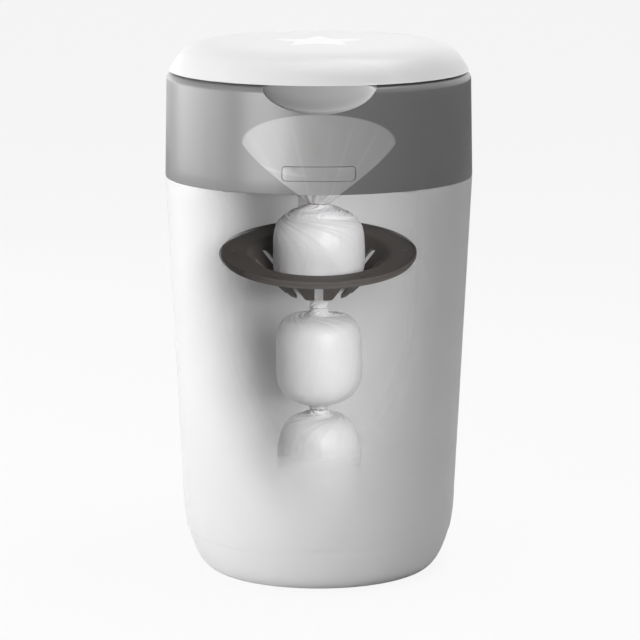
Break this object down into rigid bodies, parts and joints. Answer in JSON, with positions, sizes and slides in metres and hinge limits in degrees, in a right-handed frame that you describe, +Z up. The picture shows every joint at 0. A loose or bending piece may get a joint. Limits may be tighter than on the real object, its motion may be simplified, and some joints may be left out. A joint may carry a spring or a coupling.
{
  "type": "nappy bin",
  "caption": "Tall oval nappy bin with a tilting collar, a domed hinged lid, a twisting film cassette and a slotted jaw plate that holds a chain of wrapped bundles.",
  "frame": {"origin": "centre of the flat underside of the tub, on the floor", "axes": "+Z up, -Y to the front with the thumb scoop and the release button, +X to the right seen from the front"},
  "size_m": [0.245, 0.2444, 0.4267],
  "materials": {
    "tub": "satin white plastic",
    "lid": "glossy white plastic",
    "collar": "satin mid grey plastic",
    "inner_plastic": "matt white plastic",
    "jaw": "matt warm dark grey plastic",
    "cassette": "matt pale grey plastic",
    "film": "thin translucent film",
    "bundle": "soft bundle under thin white film",
    "seal": "soft matt rubber",
    "star": "glossy white plastic",
    "steel": "plain steel"
  },
  "bodies": {
    "tub": {"tub": "tub", "tub_hinge_pin": "steel", "bundle_2": "bundle", "bundle_3": "bundle"},
    "collar": {"collar": "collar", "inner_bezel": "collar", "deck": "inner_plastic", "deck_screw_1": "steel", "deck_screw_2": "steel", "deck_screw_3": "steel", "deck_screw_4": "steel", "deck_screw_5": "steel", "deck_screw_6": "steel", "carrier_screw_1": "steel", "carrier_screw_2": "steel", "click_pawl": "inner_plastic", "pawl_screw": "steel", "jaw_carrier": "jaw", "jaw_plate": "jaw", "jaw_screw_1": "jaw", "jaw_screw_2": "jaw", "jaw_screw_3": "jaw", "jaw_screw_4": "jaw", "jaw_screw_5": "jaw", "jaw_screw_6": "jaw", "latch_pin": "steel", "latch_spring": "steel", "lid_hinge_pin": "steel", "bundle_1": "bundle"},
    "lid": {"lid": "lid", "lid_liner": "inner_plastic", "lid_seal": "seal", "lid_star": "star", "liner_screw_1": "steel", "liner_screw_2": "steel", "liner_screw_3": "steel", "liner_screw_4": "steel"},
    "turntable": {"turntable_cup": "inner_plastic", "cassette_tray": "cassette", "film_pack": "film", "cassette_cap": "cassette", "film_funnel": "film"},
    "button": {"release_button": "collar"},
    "latch": {"latch_lever": "inner_plastic"}
  },
  "joints": [
    {"name": "collar_tilt", "type": "hinge", "parent": "tub", "child": "collar", "pos_m": [0, 0.1226, 0.32055], "axis": [-1, 0, 0], "range_deg": [0, 80]},
    {"name": "lid_hinge", "type": "hinge", "parent": "collar", "child": "lid", "pos_m": [0, 0.12116, 0.399], "axis": [-1, 0, 0], "range_deg": [0, 95]},
    {"name": "turntable_twist", "type": "hinge", "parent": "collar", "child": "turntable", "pos_m": [0, 0, 0.3493], "axis": [0, 0, 1], "continuous": true},
    {"name": "button_press", "type": "slide", "parent": "collar", "child": "button", "axis": [0, 1, 0], "range_m": [0, 0.0025], "stiffness_N_per_m": 600, "springref_m": -0.001},
    {"name": "latch_tip", "type": "hinge", "parent": "collar", "child": "latch", "pos_m": [0, -0.1065, 0.3237], "axis": [-1, 0, 0], "range_deg": [0, 12]}
  ],
  "couplings": [
    {"joint": "latch_tip", "follows": "button_press", "rad_per_m": 82.4}
  ]
}
